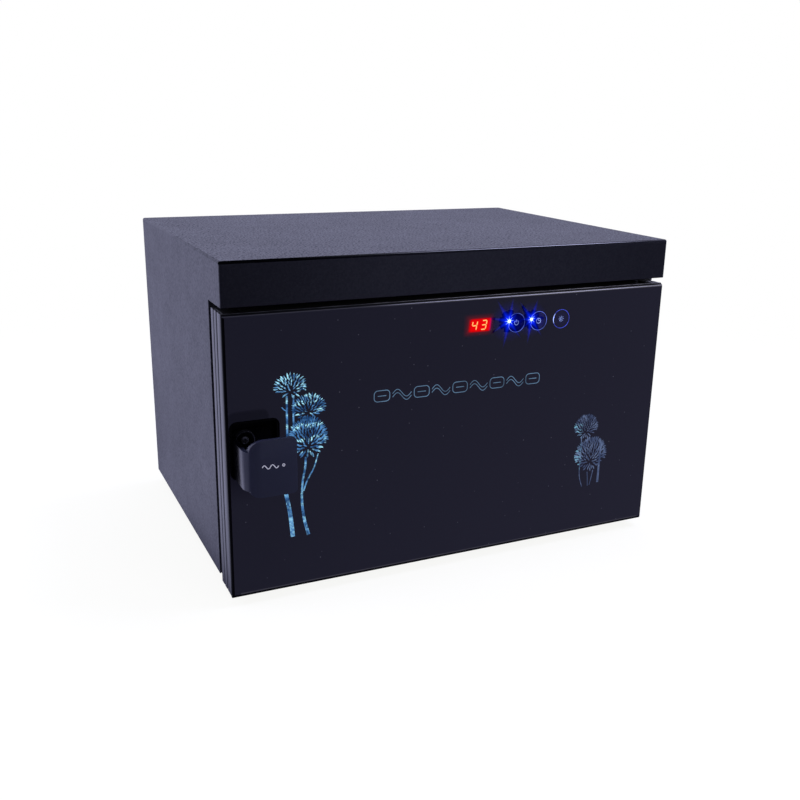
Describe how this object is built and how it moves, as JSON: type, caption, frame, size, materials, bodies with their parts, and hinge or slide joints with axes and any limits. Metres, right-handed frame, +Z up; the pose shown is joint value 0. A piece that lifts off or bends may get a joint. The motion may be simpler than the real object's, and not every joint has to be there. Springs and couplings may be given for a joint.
{
  "type": "uv sterilizer cabinet",
  "caption": "Countertop ultraviolet tool sterilizer cabinet with a glossy side-hinged door, touch controls, a pull handle, a mirror-lined chamber, a lamp tube and a wire rack.",
  "frame": {"origin": "centre of the overall box, on the plane of the feet's undersides", "axes": "+X to the right as seen from the front, +Y from the door to the back, +Z up"},
  "size_m": [0.42, 0.3478, 0.2856],
  "materials": {
    "back_panel": "fine-textured black powder coat",
    "ballast": "plain zinc can",
    "base_panel": "fine-textured black powder coat",
    "cabinet_shell": "fine-textured black powder coat",
    "catch_magnet": "ferrite magnet in a dark block",
    "chamber_liner": "polished mirror steel sheet",
    "control_board": "green circuit board",
    "display_module": "red numeric display",
    "door_gasket": "matt",
    "door_glass": "gloss black back-printed panel, opaque",
    "door_inner_panel": "polished mirror steel sheet",
    "door_rail_bottom": "black anodised, brushed",
    "door_rail_top": "black anodised, brushed",
    "door_stile_left": "black anodised, brushed",
    "door_stile_right": "black anodised, brushed",
    "foot_front_left": "matt",
    "foot_front_right": "matt",
    "foot_rear_left": "matt",
    "foot_rear_right": "matt",
    "front_frame": "satin black paint",
    "handle_cup": "satin black moulding",
    "handle_pull": "satin dark grey moulding",
    "handle_screw_lower": "blackened steel screw",
    "handle_screw_upper": "blackened steel screw",
    "hinge_bracket_bottom": "satin black paint",
    "hinge_bracket_top": "satin black paint",
    "hinge_bush_bottom": "black acetal",
    "hinge_bush_top": "black acetal",
    "hood_bottom_plate": "satin black paint",
    "interlock_plunger": "white nylon",
    "interlock_switch": "satin black moulding",
    "lamp_cap_left": "satin",
    "lamp_cap_right": "satin",
    "lamp_reflector": "polished mirror steel sheet",
    "lamp_socket_left": "white",
    "lamp_socket_right": "white",
    "power_inlet": "satin black moulding",
    "rack_rail_left": "polished mirror steel sheet",
    "rack_rail_right": "polished mirror steel sheet",
    "rear_screw_1": "zinc plated",
    "rear_screw_2": "zinc plated",
    "rear_screw_3": "zinc plated",
    "rear_screw_4": "zinc plated",
    "stile_cap_bottom": "satin black moulding",
    "stile_cap_top": "satin black moulding",
    "strike_plate": "zinc plated",
    "touch_pad_1": "sprung touch pad",
    "touch_pad_2": "sprung touch pad",
    "touch_pad_3": "sprung touch pad",
    "uv_lamp_tube": "clear quartz-type glass",
    "wire_rack": "bright chrome plate"
  },
  "bodies": {
    "cabinet": {"back_panel": "back_panel", "ballast": "ballast", "base_panel": "base_panel", "cabinet_shell": "cabinet_shell", "catch_magnet": "catch_magnet", "chamber_liner": "chamber_liner", "foot_front_left": "foot_front_left", "foot_front_right": "foot_front_right", "foot_rear_left": "foot_rear_left", "foot_rear_right": "foot_rear_right", "front_frame": "front_frame", "hinge_bracket_bottom": "hinge_bracket_bottom", "hinge_bracket_top": "hinge_bracket_top", "hood_bottom_plate": "hood_bottom_plate", "interlock_switch": "interlock_switch", "lamp_reflector": "lamp_reflector", "lamp_socket_left": "lamp_socket_left", "lamp_socket_right": "lamp_socket_right", "power_inlet": "power_inlet", "rack_rail_left": "rack_rail_left", "rack_rail_right": "rack_rail_right", "rear_screw_1": "rear_screw_1", "rear_screw_2": "rear_screw_2", "rear_screw_3": "rear_screw_3", "rear_screw_4": "rear_screw_4"},
    "door": {"door_glass": "door_glass", "door_stile_left": "door_stile_left", "door_stile_right": "door_stile_right", "door_rail_top": "door_rail_top", "door_rail_bottom": "door_rail_bottom", "door_inner_panel": "door_inner_panel", "door_gasket": "door_gasket", "strike_plate": "strike_plate", "handle_cup": "handle_cup", "handle_pull": "handle_pull", "handle_screw_upper": "handle_screw_upper", "handle_screw_lower": "handle_screw_lower", "control_board": "control_board", "display_module": "display_module", "touch_pad_1": "touch_pad_1", "touch_pad_2": "touch_pad_2", "touch_pad_3": "touch_pad_3", "hinge_bush_top": "hinge_bush_top", "hinge_bush_bottom": "hinge_bush_bottom", "stile_cap_top": "stile_cap_top", "stile_cap_bottom": "stile_cap_bottom"},
    "lamp": {"uv_lamp_tube": "uv_lamp_tube", "lamp_cap_left": "lamp_cap_left", "lamp_cap_right": "lamp_cap_right"},
    "rack": {"wire_rack": "wire_rack"},
    "interlock": {"interlock_plunger": "interlock_plunger"}
  },
  "joints": [
    {"name": "door_hinge", "type": "hinge", "parent": "cabinet", "child": "door", "pos_m": [0.196, -0.1189, 0.127], "axis": [0, 0, 1], "range_deg": [0, 110]},
    {"name": "lamp_twist", "type": "hinge", "parent": "cabinet", "child": "lamp", "pos_m": [0, 0.0301, 0.217], "axis": [1, 0, 0], "range_deg": [0, 90]},
    {"name": "rack_lift", "type": "slide", "parent": "cabinet", "child": "rack", "axis": [0, 0, 1], "range_m": [0, 0.03]},
    {"name": "interlock_slide", "type": "slide", "parent": "cabinet", "child": "interlock", "axis": [0, -1, 0], "range_m": [0, 0.003]}
  ],
  "couplings": [
    {"joint": "interlock_slide", "follows": "door_hinge", "m_per_rad": 0.00156}
  ]
}
